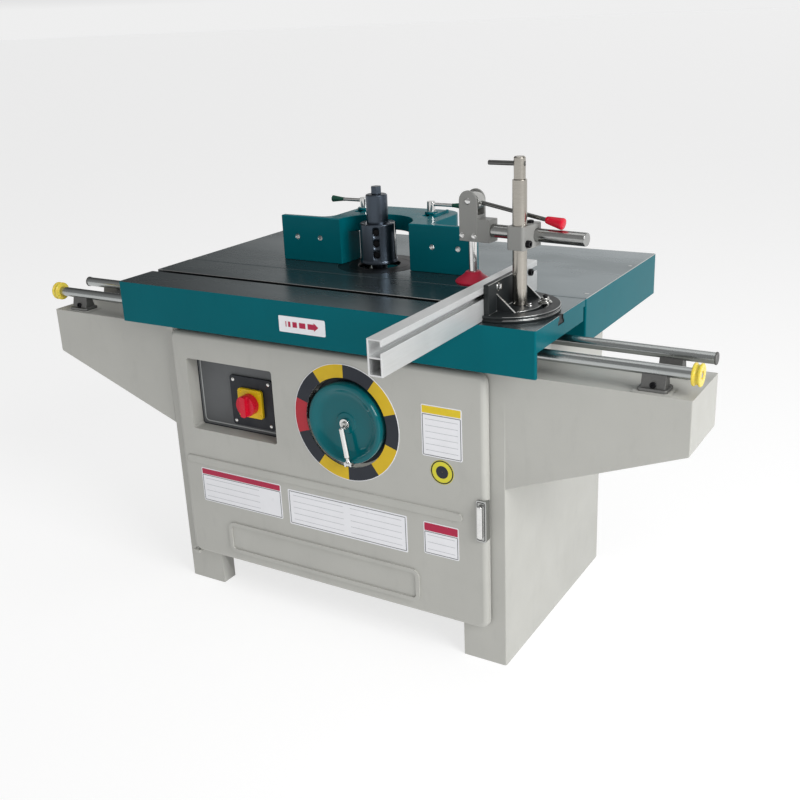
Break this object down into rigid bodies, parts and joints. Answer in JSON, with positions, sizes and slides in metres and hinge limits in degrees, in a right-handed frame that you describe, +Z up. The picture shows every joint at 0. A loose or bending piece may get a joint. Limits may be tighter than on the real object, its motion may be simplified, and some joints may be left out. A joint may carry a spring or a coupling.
{
  "type": "spindle moulder",
  "caption": "Vertical spindle moulder with sliding table on round rails, mitre gauge with eccentric clamp, horseshoe fence hood, handwheel lift and cabinet stand with a hinged door",
  "frame": {"origin": "on the floor, under the middle of the overall box", "axes": "+X along the sliding-table rails to the operator's right, +Y from the operator's side to the rear, +Z up"},
  "size_m": [1.794, 1.147, 1.177],
  "materials": {
    "teal_paint": "gloss",
    "cream_paint": "satin",
    "ground_iron": "ground",
    "polished_steel": "polished",
    "chrome": "polished",
    "black_steel": "blackened",
    "black_paint": "satin",
    "grey_paint": "satin",
    "raw_iron": "cast",
    "bronze": "machined",
    "belt_rubber": "matt",
    "red_rubber": "matt",
    "red_plastic": "gloss",
    "yellow_plastic": "gloss",
    "black_plastic": "matt",
    "white_aluminium": "anodised"
  },
  "bodies": {
    "base": {"cabinet": "cream_paint", "left_outrigger": "cream_paint", "right_outrigger": "cream_paint", "door_pivots": "grey_paint", "lift_gearbox": "grey_paint", "gearbox_hanger": "grey_paint", "guide_posts": "polished_steel", "guide_foot_plate": "raw_iron", "fixed_table": "ground_iron", "outer_insert_ring": "black_steel", "inner_insert_ring": "black_steel", "hood_studs": "polished_steel", "front_rail": "polished_steel", "rear_rail": "polished_steel", "rail_supports": "raw_iron", "rail_caps": "yellow_plastic"},
    "door": {"front_door": "cream_paint", "dial_ring": "yellow_plastic", "door_latch_plate": "chrome", "switch_plate": "black_plastic", "switch_base": "yellow_plastic"},
    "latch": {"door_latch_lever": "chrome"},
    "knob": {"switch_knob": "red_plastic"},
    "wheel": {"handwheel": "teal_paint", "handwheel_shaft": "polished_steel", "wheel_fittings": "chrome"},
    "handle": {"handwheel_handle": "chrome"},
    "screw": {"lead_screw": "polished_steel"},
    "carriage": {"spindle_carriage": "raw_iron", "spindle_bearings": "polished_steel", "lead_nut": "bronze", "motor": "grey_paint", "motor_plate": "raw_iron", "drive_belt": "belt_rubber"},
    "spindle": {"spindle_shaft": "polished_steel", "spindle_pulley": "raw_iron", "cutter_drum": "black_steel", "spacer_sleeve": "black_steel", "arbor_nut": "black_steel"},
    "rotor": {"motor_shaft": "polished_steel", "motor_pulley": "raw_iron"},
    "hood": {"fence_hood": "teal_paint"},
    "left_lever": {"left_lock_lever": "chrome"},
    "right_lever": {"right_lock_lever": "chrome"},
    "slide_table": {"sliding_table": "ground_iron", "bearing_blocks": "raw_iron"},
    "gauge": {"guide_bar": "polished_steel", "gauge_lock_bolt": "black_steel"},
    "gauge_top": {"gauge_head": "black_paint", "mast": "polished_steel"},
    "fence_bar": {"gauge_fence": "white_aluminium"},
    "mast_top": {"mast_head": "polished_steel"},
    "tommy": {"tommy_bar": "polished_steel"},
    "cross": {"cross_clamp": "grey_paint"},
    "arm": {"clamp_bar": "chrome", "clamp_head": "grey_paint"},
    "lever": {"cam_lever": "polished_steel", "lever_knob": "red_plastic"},
    "press": {"press_rod": "chrome", "press_foot": "red_rubber"}
  },
  "joints": [
    {"name": "door_hinge", "type": "hinge", "parent": "base", "child": "door", "pos_m": [-0.444, -0.1645, 0.4], "axis": [0, 0, -1], "range_deg": [0, 110]},
    {"name": "latch_turn", "type": "hinge", "parent": "door", "child": "latch", "pos_m": [0.438, -0.1742, 0.418], "axis": [0, 1, 0], "range_deg": [0, 90]},
    {"name": "switch_turn", "type": "hinge", "parent": "door", "child": "knob", "pos_m": [-0.224, -0.1742, 0.553], "axis": [0, 1, 0], "range_deg": [0, 90]},
    {"name": "handwheel_turn", "type": "hinge", "parent": "base", "child": "wheel", "pos_m": [0.084, -0.1855, 0.561], "axis": [0, 1, 0], "range_deg": [-3600, 1800]},
    {"name": "handle_fold", "type": "hinge", "parent": "wheel", "child": "handle", "pos_m": [0.09886, -0.1945, 0.46717], "axis": [0.9877, 0, 0.1564], "range_deg": [0, 90]},
    {"name": "screw_turn", "type": "hinge", "parent": "base", "child": "screw", "pos_m": [0.084, 0.2125, 0.7], "axis": [0, 0, 1], "range_deg": [-3600, 1800]},
    {"name": "spindle_lift", "type": "slide", "parent": "base", "child": "carriage", "axis": [0, 0, 1], "range_m": [-0.06, 0.03]},
    {"name": "spindle_spin", "type": "hinge", "parent": "carriage", "child": "spindle", "pos_m": [-0.046, 0.2125, 0.7], "axis": [0, 0, 1], "continuous": true},
    {"name": "motor_spin", "type": "hinge", "parent": "carriage", "child": "rotor", "pos_m": [-0.296, 0.2125, 0.5], "axis": [0, 0, 1], "continuous": true},
    {"name": "hood_slide", "type": "slide", "parent": "base", "child": "hood", "axis": [0, 1, 0], "range_m": [0, 0.03]},
    {"name": "left_lock_turn", "type": "hinge", "parent": "base", "child": "left_lever", "pos_m": [-0.15, 0.3125, 0.99], "axis": [0, 0, 1], "range_deg": [-60, 60]},
    {"name": "right_lock_turn", "type": "hinge", "parent": "base", "child": "right_lever", "pos_m": [0.058, 0.3125, 0.99], "axis": [0, 0, 1], "range_deg": [-60, 60]},
    {"name": "table_slide", "type": "slide", "parent": "base", "child": "slide_table", "axis": [1, 0, 0], "range_m": [-0.28, 0.28]},
    {"name": "gauge_slide", "type": "slide", "parent": "slide_table", "child": "gauge", "axis": [1, 0, 0], "range_m": [-0.6, 0]},
    {"name": "gauge_swivel", "type": "hinge", "parent": "gauge", "child": "gauge_top", "pos_m": [0.454, -0.0645, 0.855], "axis": [0, 0, 1], "range_deg": [-15, 45]},
    {"name": "fence_slide", "type": "slide", "parent": "gauge_top", "child": "fence_bar", "axis": [0, 1, 0], "range_m": [-0.1, 0.04]},
    {"name": "mast_screw_turn", "type": "hinge", "parent": "gauge_top", "child": "mast_top", "pos_m": [0.482, -0.0645, 1.15], "axis": [0, 0, 1], "range_deg": [-90, 90]},
    {"name": "tommy_slide", "type": "slide", "parent": "mast_top", "child": "tommy", "axis": [1, 0, 0], "range_m": [0, 0.045]},
    {"name": "cross_height", "type": "slide", "parent": "gauge_top", "child": "cross", "axis": [0, 0, 1], "range_m": [-0.012, 0.08]},
    {"name": "arm_slide", "type": "slide", "parent": "cross", "child": "arm", "axis": [0.9945, -0.1045, 0], "range_m": [-0.012, 0.03]},
    {"name": "lever_turn", "type": "hinge", "parent": "arm", "child": "lever", "pos_m": [0.34465, -0.01286, 1.072], "axis": [-0.1045, -0.9945, 0], "range_deg": [0, 80]},
    {"name": "press_slide", "type": "slide", "parent": "arm", "child": "press", "axis": [0, 0, 1], "range_m": [0, 0.0065]}
  ],
  "couplings": [
    {"joint": "screw_turn", "follows": "handwheel_turn", "ratio": 1},
    {"joint": "spindle_lift", "follows": "handwheel_turn", "m_per_rad": 0.00095493},
    {"joint": "motor_spin", "follows": "spindle_spin", "ratio": 0.72414},
    {"joint": "press_slide", "follows": "lever_turn", "m_per_rad": 0.0046036}
  ]
}
